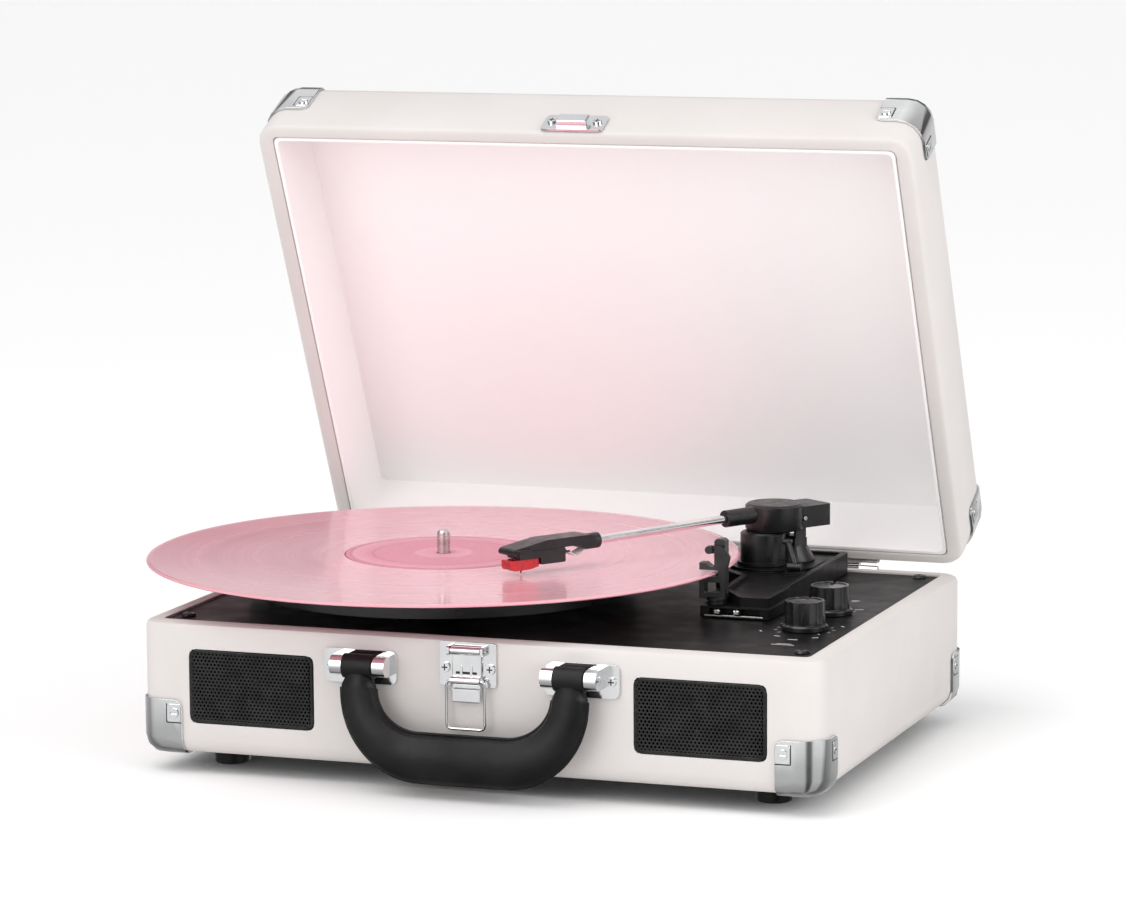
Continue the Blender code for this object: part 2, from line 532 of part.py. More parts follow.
join(clip, rod("clip_pin", (93.2, -28.8, 99), (93.2, -22, 99), 1.1, None, 10))
join(clip, rod("clip_knob", (88.6, -30.6, 99), (88.6, -28, 99), 2.0, None, 12))
originTo(clip, (93.2, -28, 99))

# Cueing lever beside the turret.
cue = rod("cue_lever", (105.4, 48, 78.7), (112.6, 48, 78.7), 2.2, BLACK, 12)
join(cue, rod("cue_arm", (109.2, 48, 78.9), (102.2, 58.2, 89.6), 1.3, None, 10))
join(cue, box("cue_finger", (99.2, 56.4, 88.4), (104.2, 60.6, 91.2), None, 0.9, 2))
originTo(cue, (109, 48, 78.7))

# Tonearm. It's drawn along its own X from the stylus at t = 0, and hung on the yaw and pitch frames.
yaw = frameAt("arm_yaw", (*ARM, 76.5), Matrix.Rotation(ARM_ANGLE, 4, "Z"))
drum = [(0, 93.2), (10.9, 93.2), (11.7, 92.4), (11.7, 78.3), (13.3, 78.1), (13.3, 76.5)]
drum += [(5, 76.5), (5, 68), (0, 68)]
turret = turned("arm_turret", drum, BLACK, 24, (ARM_T, 0, 0))
slope = [(0, 89.5), (4.6, 89.5), (12, 77.6), (12, 76.5), (0, 76.5)]
join(turret, turned("turret_cone", slope, None, 16, (PITCH_T, 0, 0)))
join(turret, box("upright_bridge", (PITCH_T - 4, -7.4, 84), (PITCH_T + 4, 7.4, 88.6)))
for side in (-1, 1):
    a, b = sorted((side * 5.8, side * 7.4))
    upright = box(f"upright_{side}", (PITCH_T - 3.4, a, 85), (PITCH_T + 3.4, b, 102), None, 1.2, 1, 1)
    join(turret, upright)
cut(turret, rod("upright_bore", (PITCH_T, -12, PITCH_Z), (PITCH_T, 12, PITCH_Z), 1.5, None, 12))
pin = rod("arm_pivot_pin", (PITCH_T, -11.4, PITCH_Z), (PITCH_T, 11.4, PITCH_Z), 1.2, STEEL, 12)
ride(yaw, (ARM_T, 0, 76.5), turret, pin)

pitch = frameAt("arm_pitch", (0, 0, 0), Matrix(), yaw)
pitch.location = Vector((PITCH_T - ARM_T, 0, PITCH_Z - 76.5)) * MM
cap = [(0, 107.3), (13.6, 107.3), (15, 106.2), (15, 94.6), (14.4, 93.7), (0, 93.7)]
housing = turned("arm_housing", cap, BLACK, 28, (160.4, 0, 0))
join(housing, box("rear_block", (162, -10.5, 94.2), (190, 10.5, 105.3), None, 2.0, 2, 2))
join(housing, rod("arm_collar", (128, 0, 101.95), (150, 0, 102.3), 4.4, None, 18))
cut(housing, box("housing_hollow", (166.5, -8.3, 90), (187, 8.3, 103.4)))
cut(housing, rod("housing_bore", (PITCH_T, -14, PITCH_Z), (PITCH_T, 14, PITCH_Z), 1.5, None, 12))
tube = rod("arm_tube", (47.3, 0, 99.66), (127.7, 0, 101.86), 2.2, CHROME, 14)
shellSide = [(-9, 97.6), (-9, 100), (-7, 101), (12, 104), (38, 104), (41.5, 102.6)]
shellSide += [(41.5, 97.2), (34, 97.2), (30, 99.4), (-5, 99.4), (-7, 97.6)]
shell = flat("headshell", shellSide, -6.5, 6.5, BLACK, "XZ", 0.7)
join(shell, rod("headshell_collar", (38, 0, 99.45), (47, 0, 99.65), 4.0, None, 16))
join(shell, box("finger_lift", (-8, -9.5, 99.5), (2, -5.8, 100.6), None, 0.4, 1))
cartSide = [(-4.4, 95.3), (-4.4, 99.1), (23.5, 99.1), (23.5, 91.8), (8.4, 91.8), (8.4, 95.3)]
cart = flat("cartridge", cartSide, -5.4, 5.4, BLACK, "XZ", 0.5)
for i, y in enumerate((-3.2, 0.0, 3.2)):
    join(cart, rod(f"cartridge_pin_{i}", (23, y, 96.4), (27.5, y, 96.4), 0.6, None, 8))
needleSide = [(-8.6, 90.6), (-9, 95), (8.1, 95), (8.1, 91), (3, 89.9), (-6.5, 89.7)]
needle = flat("stylus", needleSide, -4.2, 4.2, RED, "XZ", 0.6)
join(needle, turned("stylus_tip", [(0, 91), (1.1, 91), (0.25, 87.65), (0, 87.65)], None, 8, (0, 0, 0)))
ride(pitch, (PITCH_T, 0, PITCH_Z), housing, tube, shell, cart, needle)

# Lid, drawn closed and hung on a frame at the hinge axis.
lidFrame = frameAt("lid_hinge", HINGE, Matrix.Rotation(-LID_OPEN, 4, "X"))
lid = suitcaseBox("lid_shell", 0.0, LID_Z0, LID_Z1, LID_Z1, LID_Z0, OFFWHITE)
cut(lid, box("lid_inside", (-167.3, -120.8, 40), (167.3, 121.3, 109.4), None, 3, 2, 2))
tray = box("lid_lining", (-167, -120.5, 66.8), (167, 121.0, 109.1), LINING, 3, 2, 2)
cut(tray, box("lining_inside", (-165, -118.5, 40), (165, 119.0, 107.9), None, 2.6, 2, 2))
ride(lidFrame, HINGE, lid, tray)
for where, (sx, sy) in corners.items():
    skin = cornerSkin("lid_corner_" + where, sx, sy, 84, 116, LID_Z0, LID_Z1, LID_Z1, LID_Z0, 91)
    ride(lidFrame, HINGE, skin)

catch = flat("lid_catch", rounded(rectangle(-2, 74.6, 33, 14.4), 2, 2), -129.0, -127.8, CHROME, "XZ")
join(catch, box("catch_root", (-10, -131.6, 69.2), (6, -128.4, 71.2)))
join(catch, box("catch_hook", (-10, -132.8, 69.2), (6, -131.2, 76.6), None, 0.5, 1))
for side in (-1, 1):
    x = -2 + side * 12.2
    join(catch, rod(f"catch_screw_{side}", (x, -130.2, 75), (x, -128.4, 75), 2.4, None, 12))
ride(lidFrame, HINGE, catch)

for side, hand in ((-1, "left"), (1, "right")):
    x = side * HINGE_X
    leaf = box("hinge_lid_leaf_" + hand, (x - 15, 127.8, 67.4), (x + 15, 129.0, 82), CHROME, 1.5, 2, 1)
    join(leaf, box("lid_knuckle_" + hand, (x - 5, 127.8, 65.2), (x + 5, 130.4, 68.4)))
    join(leaf, rod("lid_barrel_" + hand, (x - 5, *HINGE[1:]), (x + 5, *HINGE[1:]), 2.4, None, 10))
    for i, dx in enumerate((-9, 9)):
        join(leaf, rod(f"lid_leaf_screw_{hand}_{i}", (x + dx, 128.4, 76), (x + dx, 129.9, 76), 2.2, None, 8))
    cut(leaf, rod("lid_barrel_bore_" + hand, (x - 9, *HINGE[1:]), (x + 9, *HINGE[1:]), 1.5, None, 12))
    ride(lidFrame, HINGE, leaf)
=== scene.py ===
import json
import math

import bmesh
import bpy
from mathutils import Matrix, Vector

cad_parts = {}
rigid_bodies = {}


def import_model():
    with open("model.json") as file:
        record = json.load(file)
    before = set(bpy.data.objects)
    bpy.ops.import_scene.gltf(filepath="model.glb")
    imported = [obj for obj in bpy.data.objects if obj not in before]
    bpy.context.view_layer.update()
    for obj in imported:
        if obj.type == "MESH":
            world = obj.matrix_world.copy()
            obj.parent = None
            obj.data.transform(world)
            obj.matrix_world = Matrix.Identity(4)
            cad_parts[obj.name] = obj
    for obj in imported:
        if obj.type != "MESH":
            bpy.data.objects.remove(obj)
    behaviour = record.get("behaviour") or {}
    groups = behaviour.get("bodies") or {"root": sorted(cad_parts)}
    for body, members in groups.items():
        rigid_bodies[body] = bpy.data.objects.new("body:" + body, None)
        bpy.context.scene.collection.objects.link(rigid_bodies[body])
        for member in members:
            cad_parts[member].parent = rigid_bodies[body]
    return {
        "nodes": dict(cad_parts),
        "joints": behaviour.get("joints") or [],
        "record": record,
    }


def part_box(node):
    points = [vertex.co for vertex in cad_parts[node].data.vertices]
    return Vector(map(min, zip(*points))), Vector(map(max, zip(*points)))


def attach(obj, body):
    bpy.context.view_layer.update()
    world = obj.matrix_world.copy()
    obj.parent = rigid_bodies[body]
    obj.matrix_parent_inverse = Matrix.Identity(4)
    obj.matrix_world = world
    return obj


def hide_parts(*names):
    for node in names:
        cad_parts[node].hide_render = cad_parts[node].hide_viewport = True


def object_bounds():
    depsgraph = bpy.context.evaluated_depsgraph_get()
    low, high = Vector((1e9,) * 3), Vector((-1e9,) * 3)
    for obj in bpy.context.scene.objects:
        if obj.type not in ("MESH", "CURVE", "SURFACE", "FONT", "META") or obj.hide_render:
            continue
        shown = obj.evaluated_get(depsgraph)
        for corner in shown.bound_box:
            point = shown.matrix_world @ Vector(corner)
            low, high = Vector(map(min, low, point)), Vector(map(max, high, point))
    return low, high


for old in list(bpy.data.objects):
    bpy.data.objects.remove(old)
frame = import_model()
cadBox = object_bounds()
nodes = frame["nodes"]
bodyOf = {node: body for body, members in frame["record"]["behaviour"]["bodies"].items() for node in members}
slotOf = {row["node"]: row["material_slot"] for row in frame["record"]["subparts"]}
mm = 0.001
jointSpot = {row["name"]: Vector(row["pos_m"]) / mm for row in frame["joints"] if "pos_m" in row}


# A CAD node's lowest and highest corners, in millimetres.
def cornersOf(node):
    low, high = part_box(node)
    return low / mm, high / mm


# Small tools for building materials.

def newFinish(name, shader):
    made = bpy.data.materials.new(name)
    made.use_nodes = True
    main = made.node_tree.nodes["Principled BSDF"]
    for socket, value in shader.items():
        main.inputs[socket].default_value = value
    return made, made.node_tree, main


def objectPlace(tree):
    return tree.nodes.new("ShaderNodeTexCoord").outputs["Object"]


def noise(tree, place, scale, detail=3.0, rough=0.55):
    made = tree.nodes.new("ShaderNodeTexNoise")
    made.inputs["Scale"].default_value = scale
    made.inputs["Detail"].default_value = detail
    made.inputs["Roughness"].default_value = rough
    tree.links.new(place, made.inputs["Vector"])
    return made.outputs["Fac"]


def cells(tree, place, scale, feature):
    made = tree.nodes.new("ShaderNodeTexVoronoi")
    made.feature = feature
    made.inputs["Scale"].default_value = scale
    tree.links.new(place, made.inputs["Vector"])
    return made.outputs["Distance"]


def stretched(tree, place, scale):
    made = tree.nodes.new("ShaderNodeMapping")
    made.inputs["Scale"].default_value = scale
    tree.links.new(place, made.inputs["Vector"])
    return made.outputs["Vector"]


def ramp(tree, value, stops):
    made = tree.nodes.new("ShaderNodeValToRGB")
    points = made.color_ramp.elements
    while len(points) < len(stops):
        points.new(0.5)
    for point, (where, colour) in zip(points, stops):
        point.position = where
        point.color = (*colour, 1.0)
    tree.links.new(value, made.inputs["Fac"])
    return made.outputs["Color"]


# Noise stays mostly between 0.3 and 0.7, so that stretch is spread from low to high.
def rescale(tree, value, low, high):
    made = tree.nodes.new("ShaderNodeMapRange")
    made.inputs["From Min"].default_value = 0.3
    made.inputs["From Max"].default_value = 0.7
    made.inputs["To Min"].default_value = low
    made.inputs["To Max"].default_value = high
    tree.links.new(value, made.inputs["Value"])
    return made.outputs["Result"]


def sums(tree, operation, first, second=0.0):
    made = tree.nodes.new("ShaderNodeMath")
    made.operation = operation
    for i, value in enumerate((first, second)):
        if isinstance(value, (int, float)):
            made.inputs[i].default_value = value
        else:
            tree.links.new(value, made.inputs[i])
    return made.outputs["Value"]


def bump(tree, main, height, distance, strength, before=None):
    made = tree.nodes.new("ShaderNodeBump")
    made.inputs["Distance"].default_value = distance
    made.inputs["Strength"].default_value = strength
    tree.links.new(height, made.inputs["Height"])
    if before:
        tree.links.new(before, made.inputs["Normal"])
    tree.links.new(made.outputs["Normal"], main.inputs["Normal"])
    return made.outputs["Normal"]


def colours(tree, main, value, stops):
    tree.links.new(ramp(tree, value, stops), main.inputs["Base Color"])


def roughness(tree, main, value, low, high):
    tree.links.new(rescale(tree, value, low, high), main.inputs["Roughness"])


# Pebbled off-white leatherette, stretched over the boards of the case and lid.
leatherette = {"light": (0.69, 0.655, 0.637), "dark": (0.655, 0.62, 0.60), "pebble": 900, "patch": 14,
               "soil": 55, "rough": (0.42, 0.58), "height": 0.00012, "strength": 0.35,
               "wave": 240, "waveHeight": 0.0001, "waveStrength": 0.25}
caseCover, tree, main = newFinish("caseCover", {"Specular IOR Level": 0.4})
place = objectPlace(tree)
colours(tree, main, noise(tree, place, leatherette["patch"], 5),
        [(0.3, leatherette["dark"]), (0.62, leatherette["light"])])
roughness(tree, main, noise(tree, place, leatherette["soil"]), *leatherette["rough"])
pebble = cells(tree, place, leatherette["pebble"], "SMOOTH_F1")
first = bump(tree, main, pebble, leatherette["height"], leatherette["strength"])
bump(tree, main, noise(tree, place, leatherette["wave"], 4), leatherette["waveHeight"],
     leatherette["waveStrength"], first)

# Pale cloth paper inside the lid, fine weave; painted shade and pink bounce light fade across it.
# left holds the most painted shade and pink bounce light from the record, right the least.
lining = {"left": (0.955, 0.932, 0.928), "right": (0.96, 0.95, 0.945), "thread": 6000, "height": 0.00006,
          "bounceFade": 2.1, "shift": 0.28, "cloud": 9, "cloudy": 0.35, "rough": (0.72, 0.9)}
lidCloth, tree, main = newFinish("lidCloth", {"Sheen Weight": 0.25, "Sheen Roughness": 0.5,
                                             "Specular IOR Level": 0.2})
place = objectPlace(tree)
split = tree.nodes.new("ShaderNodeSeparateXYZ")
tree.links.new(place, split.inputs[0])
# Painted shade and pink bounce light: darker and pinker towards the left, with random cloudy tone added.
across = sums(tree, "ADD", sums(tree, "MULTIPLY", split.outputs["X"], lining["bounceFade"]), lining["shift"])
cloud = sums(tree, "MULTIPLY", noise(tree, place, lining["cloud"]), lining["cloudy"])
bounceAndCloud = sums(tree, "ADD", across, cloud)
colours(tree, main, bounceAndCloud, [(0.1, lining["left"]), (0.75, lining["right"])])
roughness(tree, main, noise(tree, place, 120), *lining["rough"])
warp = sums(tree, "SINE", sums(tree, "MULTIPLY", split.outputs["X"], lining["thread"]))
weftRun = sums(tree, "SUBTRACT", split.outputs["Z"], split.outputs["Y"])
weft = sums(tree, "SINE", sums(tree, "MULTIPLY", weftRun, lining["thread"]))
bump(tree, main, sums(tree, "MULTIPLY", warp, weft), lining["height"], 0.3)


# Plain moulded finishes share one recipe: two close tones, patchy gloss and a fine moulded grain.
def moulded(name, spec):
    made, tree, main = newFinish(name, spec.get("shader", {}))
    place = objectPlace(tree)
    if "stretch" in spec:
        place = stretched(tree, place, spec["stretch"])
    colours(tree, main, noise(tree, place, spec["patch"], 4), [(0.35, spec["dark"]), (0.65, spec["light"])])
    roughness(tree, main, noise(tree, place, spec["patch"] * 3), *spec["rough"])
    first = bump(tree, main, noise(tree, place, spec["grain"], 2), spec["height"], spec["strength"])
    if spec.get("cells"):
        bump(tree, main, cells(tree, place, spec["cells"], "SMOOTH_F1"), spec["height"] * 2,
             spec["strength"], first)
    return made


mouldings = {
    "armPlastic": {"dark": (0.006, 0.006, 0.0065), "light": (0.014, 0.014, 0.015), "patch": 60, "grain": 2600,
                   "rough": (0.26, 0.42), "height": 0.00004, "strength": 0.25},
    "knobPlastic": {"dark": (0.008, 0.008, 0.009), "light": (0.016, 0.016, 0.018), "patch": 80, "grain": 3200,
                    "rough": (0.16, 0.28), "height": 0.00003, "strength": 0.15,
                    "shader": {"Coat Weight": 0.3, "Coat Roughness": 0.12}},
    "deckPlastic": {"dark": (0.005, 0.005, 0.005), "light": (0.011, 0.011, 0.011), "patch": 22, "grain": 1800,
                    "rough": (0.34, 0.46), "height": 0.00005, "strength": 0.4, "cells": 2200,
                    "shader": {"Specular IOR Level": 0.12}},
    "footRubber": {"dark": (0.003, 0.003, 0.003), "light": (0.008, 0.008, 0.008), "patch": 90, "grain": 1500,
                   "rough": (0.26, 0.42), "height": 0.00005, "strength": 0.25,
                   "shader": {"Specular IOR Level": 0.2}},
    "beltRubber": {"dark": (0.012, 0.012, 0.012), "light": (0.022, 0.022, 0.022), "patch": 90, "grain": 2500,
                   "rough": (0.5, 0.7), "height": 0.00005, "strength": 0.3},
    "chromePlate": {"dark": (0.80, 0.81, 0.82), "light": (0.94, 0.94, 0.95), "patch": 35, "grain": 220,
                    "rough": (0.06, 0.17), "height": 0.00006, "strength": 0.12, "shader": {"Metallic": 1.0}},
    "turnedSteel": {"dark": (0.50, 0.48, 0.46), "light": (0.70, 0.69, 0.67), "patch": 40, "grain": 900,
                    "rough": (0.2, 0.36), "height": 0.00005, "strength": 0.2, "stretch": (1, 1, 6),
                    "shader": {"Metallic": 1.0}},
    "grillePaint": {"dark": (0.008, 0.008, 0.008), "light": (0.022, 0.022, 0.022), "patch": 120,
                    "grain": 2600, "rough": (0.3, 0.48), "height": 0.00004, "strength": 0.3,
                    "shader": {"Metallic": 0.35}},
    "conePaper": {"dark": (0.012, 0.012, 0.012), "light": (0.03, 0.03, 0.03), "patch": 70, "grain": 1400,
                  "rough": (0.75, 0.92), "height": 0.0001, "strength": 0.5},
    "boardLacquer": {"dark": (0.01, 0.09, 0.04), "light": (0.02, 0.20, 0.09), "patch": 160, "grain": 700,
                     "rough": (0.3, 0.5), "height": 0.00006, "strength": 0.3, "cells": 300},
    "matFelt": {"dark": (0.012, 0.012, 0.013), "light": (0.035, 0.034, 0.036), "patch": 300, "grain": 2400,
                "rough": (0.85, 0.97), "height": 0.0002, "strength": 0.6, "shader": {"Sheen Weight": 0.3}},
    "stylusRed": {"dark": (0.45, 0.006, 0.012), "light": (0.62, 0.012, 0.02), "patch": 120, "grain": 2600,
                  "rough": (0.18, 0.3), "height": 0.00003, "strength": 0.2,
                  "shader": {"Coat Weight": 0.4, "Coat Roughness": 0.1}},
    "blackScrew": {"dark": (0.02, 0.02, 0.02), "light": (0.06, 0.06, 0.06), "patch": 200, "grain": 1800,
                   "rough": (0.22, 0.38), "height": 0.00004, "strength": 0.3, "shader": {"Metallic": 0.9}},
    "leadWhite": {"dark": (0.72, 0.72, 0.70), "light": (0.84, 0.84, 0.82), "patch": 200, "grain": 2500,
                  "rough": (0.3, 0.45), "height": 0.00003, "strength": 0.2},
    "printWhite": {"dark": (0.60, 0.60, 0.60), "light": (0.74, 0.74, 0.74), "patch": 400, "grain": 3000,
                   "rough": (0.5, 0.65), "height": 0.00002, "strength": 0.2},
}
finishes = {name: moulded(name, spec) for name, spec in mouldings.items()}

# Black leather of the handle: pores between soft creases, with patchy gloss.
grip = {"dark": (0.004, 0.004, 0.0043), "light": (0.011, 0.011, 0.0115), "pore": 1100, "crease": 260,
        "rough": (0.34, 0.52), "height": 0.00016}
gripLeather, tree, main = newFinish("gripLeather", {"Specular IOR Level": 0.28})
place = objectPlace(tree)
colours(tree, main, noise(tree, place, 40, 5), [(0.35, grip["dark"]), (0.68, grip["light"])])
roughness(tree, main, noise(tree, place, 70, 4), *grip["rough"])
first = bump(tree, main, cells(tree, place, grip["pore"], "DISTANCE_TO_EDGE"), grip["height"], 0.35)
bump(tree, main, noise(tree, place, grip["crease"], 5), grip["height"] * 1.5, 0.3, first)

# Pink vinyl. Bands of fine grooves run round it, with smooth rings between the tracks.
vinyl = {"body": (0.73, 0.33, 0.39), "bright": (0.81, 0.405, 0.47), "pitch": 0.0011,
         "tracksFrom": 0.0585, "tracksTo": 0.1475, "rough": (0.14, 0.34), "height": 0.00005, "strength": 0.35,
         "band": 90, "swirl": 11, "hair": 2600, "bandShare": 0.6, "grooveShare": 0.25,
         "shader": {"Coat Weight": 0.5, "Coat Roughness": 0.06, "IOR": 1.5, "Subsurface Weight": 0.25,
                    "Subsurface Radius": (0.01, 0.004, 0.004), "Subsurface Scale": 0.2}}
pinkVinyl, tree, main = newFinish("pinkVinyl", vinyl["shader"])
place = objectPlace(tree)
length = tree.nodes.new("ShaderNodeVectorMath")
length.operation = "LENGTH"
tree.links.new(stretched(tree, place, (1, 1, 0)), length.inputs[0])
radius = length.outputs["Value"]
rings = tree.nodes.new("ShaderNodeCombineXYZ")
tree.links.new(radius, rings.inputs["X"])
bands = noise(tree, rings.outputs["Vector"], vinyl["band"], 6, 0.7)
swirl = noise(tree, place, vinyl["swirl"], 4)
mixed = sums(tree, "ADD", sums(tree, "MULTIPLY", bands, vinyl["bandShare"]),
             sums(tree, "MULTIPLY", swirl, 1 - vinyl["bandShare"]))
colours(tree, main, mixed, [(0.36, vinyl["body"]), (0.62, vinyl["bright"])])
roughness(tree, main, bands, *vinyl["rough"])
groove = sums(tree, "SINE", sums(tree, "MULTIPLY", radius, math.tau / vinyl["pitch"]))
hair = noise(tree, rings.outputs["Vector"], vinyl["hair"], 2, 0.6)
played = sums(tree, "MULTIPLY", sums(tree, "GREATER_THAN", radius, vinyl["tracksFrom"]),
              sums(tree, "LESS_THAN", radius, vinyl["tracksTo"]))
relief = sums(tree, "ADD", sums(tree, "MULTIPLY", groove, vinyl["grooveShare"]), hair)
relief = sums(tree, "MULTIPLY", relief, played)
bump(tree, main, relief, vinyl["height"], vinyl["strength"])

# Paper label of the record, with plain printed rings.
labelInk = {"paper": (0.64, 0.25, 0.32), "ring": (0.50, 0.17, 0.24), "pale": (0.72, 0.34, 0.41),
            "reach": 0.05, "rough": (0.4, 0.6), "soil": 400, "tooth": 2200}
labelPaper, tree, main = newFinish("labelPaper", {"Specular IOR Level": 0.35})
place = objectPlace(tree)
length = tree.nodes.new("ShaderNodeVectorMath")
length.operation = "LENGTH"
perRadius = 1 / labelInk["reach"]
tree.links.new(stretched(tree, place, (perRadius, perRadius, 0)), length.inputs[0])
printed = [(0.0, "paper"), (0.28, "pale"), (0.31, "paper"), (0.70, "paper"), (0.72, "ring"), (0.735, "paper"),
           (0.92, "pale"), (0.95, "ring"), (0.97, "paper")]
colours(tree, main, length.outputs["Value"], [(where, labelInk[ink]) for where, ink in printed])
roughness(tree, main, noise(tree, place, labelInk["soil"]), *labelInk["rough"])
bump(tree, main, noise(tree, place, labelInk["tooth"]), 0.00003, 0.3)
finishes.update({"caseCover": caseCover, "lidCloth": lidCloth, "gripLeather": gripLeather,
                 "pinkVinyl": pinkVinyl, "labelPaper": labelPaper})
print("finishes made")

# Which finish each material slot gets, and how wide its softened edges are in millimetres.
slotFinish = {"case_covering": "caseCover", "lid_lining_cloth": "lidCloth", "black_plastic": "armPlastic",
              "gloss_black": "knobPlastic", "deck_black": "deckPlastic", "chrome_plate": "chromePlate",
              "bare_steel": "turnedSteel", "rubber": "footRubber", "handle_leather": "gripLeather",
              "record_vinyl": "pinkVinyl", "mat_felt": "matFelt", "stylus_red": "stylusRed",
              "grille_steel": "grillePaint", "speaker_cone": "conePaper", "board_green": "boardLacquer"}
edgeWidth = {"case_covering": 0.9, "lid_lining_cloth": 0.8, "black_plastic": 0.35, "gloss_black": 0.3,
             "deck_black": 0.4, "chrome_plate": 0.3, "bare_steel": 0.25, "rubber": 0.5, "handle_leather": 1.0,
             "stylus_red": 0.3}
otherEdge = 0.25
nodeFinish = {"drive_belt": "beltRubber", "speed_switch": "turnedSteel", "auto_stop_switch": "turnedSteel"}
nodeFinish.update({node: "blackScrew" for node in nodes if node.startswith("deck_screw")})
ownShape = {"record", "speaker_grille_left", "speaker_grille_right", "carry_handle"}
weld = 0.002  # points closer than this are one point


def addPiece(name, mesh, finish, body, replaced=()):
    piece = bpy.data.objects.new(name, mesh)
    bpy.context.scene.collection.objects.link(piece)
    mesh.materials.append(finishes[finish])
    if replaced:
        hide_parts(*replaced)
    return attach(piece, body)


def smoothBy(mesh, degrees):
    bm = bmesh.new()
    bm.from_mesh(mesh)
    for face in bm.faces:
        face.smooth = True
    for edge in bm.edges:
        edge.smooth = not (len(edge.link_faces) == 2 and edge.calc_face_angle(0) > math.radians(degrees))
    bm.to_mesh(mesh)
    bm.free()


def rounded(piece, width, degrees=30, harden=False):
    edge = piece.modifiers.new("edges", "BEVEL")
    edge.width = width * mm
    edge.segments = 2
    edge.limit_method = "ANGLE"
    edge.angle_limit = math.radians(degrees)
    edge.harden_normals = harden


def newMesh(bm, name):
    bmesh.ops.recalc_face_normals(bm, faces=bm.faces)
    mesh = bpy.data.meshes.new(name)
    bm.to_mesh(mesh)
    bm.free()
    return mesh


# A copy of a CAD node's mesh without its doubled points, with flat faces joined where asked.
def weldedCopy(node, joinFlat):
    mesh = nodes[node].data.copy()
    mesh.materials.clear()
    bm = bmesh.new()
    bm.from_mesh(mesh)
    bmesh.ops.remove_doubles(bm, verts=bm.verts, dist=weld * mm)
    if joinFlat:
        bmesh.ops.dissolve_limit(bm, angle_limit=math.radians(0.3), verts=bm.verts, edges=bm.edges)
    bm.to_mesh(mesh)
    bm.free()
    return mesh


def softened(node):
    mesh = weldedCopy(node, True)
    smoothBy(mesh, 34)
    slot = slotOf[node]
    finish = nodeFinish.get(node, slotFinish[slot])
    piece = addPiece(node + ".soft", mesh, finish, bodyOf[node], [node])
    rounded(piece, edgeWidth.get(slot, otherEdge), 34, True)


for node in sorted(nodes):
    if node not in ownShape:
        softened(node)
print("frame shapes softened")


# A profile of radius and height, turned round the upright axis.
def turnedMesh(name, profile, steps):
    bm = bmesh.new()
    rings = []
    for i in range(steps):
        a = i * math.tau / steps
        rings.append([bm.verts.new((r * mm * math.cos(a), r * mm * math.sin(a), z * mm)) for r, z in profile])
    count = len(profile)
    for i in range(steps):
        here, after = rings[i], rings[(i + 1) % steps]
        for k in range(count):
            bm.faces.new((here[k], after[k], after[(k + 1) % count], here[(k + 1) % count]))
    mesh = newMesh(bm, name)
    smoothBy(mesh, 30)
    return mesh


def tube(name, points, thick, finish, body):
    curve = bpy.data.curves.new(name, "CURVE")
    curve.dimensions = "3D"
    curve.bevel_depth = thick * mm
    curve.bevel_resolution = 3
    curve.resolution_u = 6
    curve.use_fill_caps = True
    line = curve.splines.new("NURBS")
    line.points.add(len(points) - 1)
    for spot, point in zip(line.points, points):
        spot.co = (*(Vector(point) * mm), 1.0)
    line.use_endpoint_u = True
    line.order_u = 4
    guide = bpy.data.objects.new(name + "Line", curve)
    bpy.context.scene.collection.objects.link(guide)
    bpy.context.view_layer.update()
    swept = bpy.data.meshes.new_from_object(guide.evaluated_get(bpy.context.evaluated_depsgraph_get()))
    bpy.data.objects.remove(guide)
    bm = bmesh.new()
    bm.from_mesh(swept)
    bmesh.ops.remove_doubles(bm, verts=bm.verts, dist=0.001 * mm)
    mesh = newMesh(bm, name)
    smoothBy(mesh, 40)
    return addPiece(name, mesh, finish, body)


# The record with its thicker rim, and the label in its middle.
disc = {"hole": 3.7, "label": 50.0, "lead": 6.0, "rim": 3.8, "sunk": 0.23, "hollow": 0.2, "paper": 0.35}
low, high = cornersOf("record")
centre = (low + high) / 2
edge, top, under = (high.x - low.x) / 2, high.z, low.z
hole, ring = disc["hole"], disc["label"]
face, back, paper = top - disc["sunk"], under + disc["hollow"], under + disc["paper"]
profile = [(ring, back + 0.05), (ring + 0.6, face + 0.1), (ring + disc["lead"], face),
           (edge - disc["rim"], face), (edge - 2.2, top - 0.03), (edge - 1.0, top - 0.05),
           (edge - 0.2, top - 0.45), (edge, centre.z), (edge - 0.2, under + 0.4), (edge - 1.0, under + 0.05),
           (edge - 2.2, under + 0.03), (edge - disc["rim"], back), (hole + 0.3, back),
           (hole + 0.1, back + 0.05)]
mesh = turnedMesh("recordDisc", profile, 220)
record = addPiece("recordDisc", mesh, "pinkVinyl", "turntable", ["record"])
profile = [(hole, paper), (hole + 0.1, top - 0.05), (hole + 0.7, top), (ring - 0.8, top),
           (ring - 0.3, top - 0.1), (ring - 0.3, paper)]
mesh = turnedMesh("recordLabel", profile, 120)
label = addPiece("recordLabel", mesh, "labelPaper", "turntable")
for piece in (record, label):
    piece.location = (centre.x * mm, centre.y * mm, 0)
print("record made")

# Speaker grilles: punched sheet with staggered holes inside a plain border, and two small screws each.
# Depths are measured from the front of the CAD grille.
grille = {"pitch": 2.0, "hole": 0.66, "margin": 1.7, "sheet": 0.2, "thick": 0.8, "corner": 3.8, "border": 1.8,
          "borderDepth": (-0.2, 2.1), "innerCorner": 2.2, "screwDepth": -0.25,
          "screws": {"Upper": (2.4, 4.2), "Lower": (-1.6, -6.0)},
          "screwProfile": [(0.15, 0.15), (0.5, 0.1), (0.85, -0.15), (0.9, -1.2), (0.15, -1.2)]}


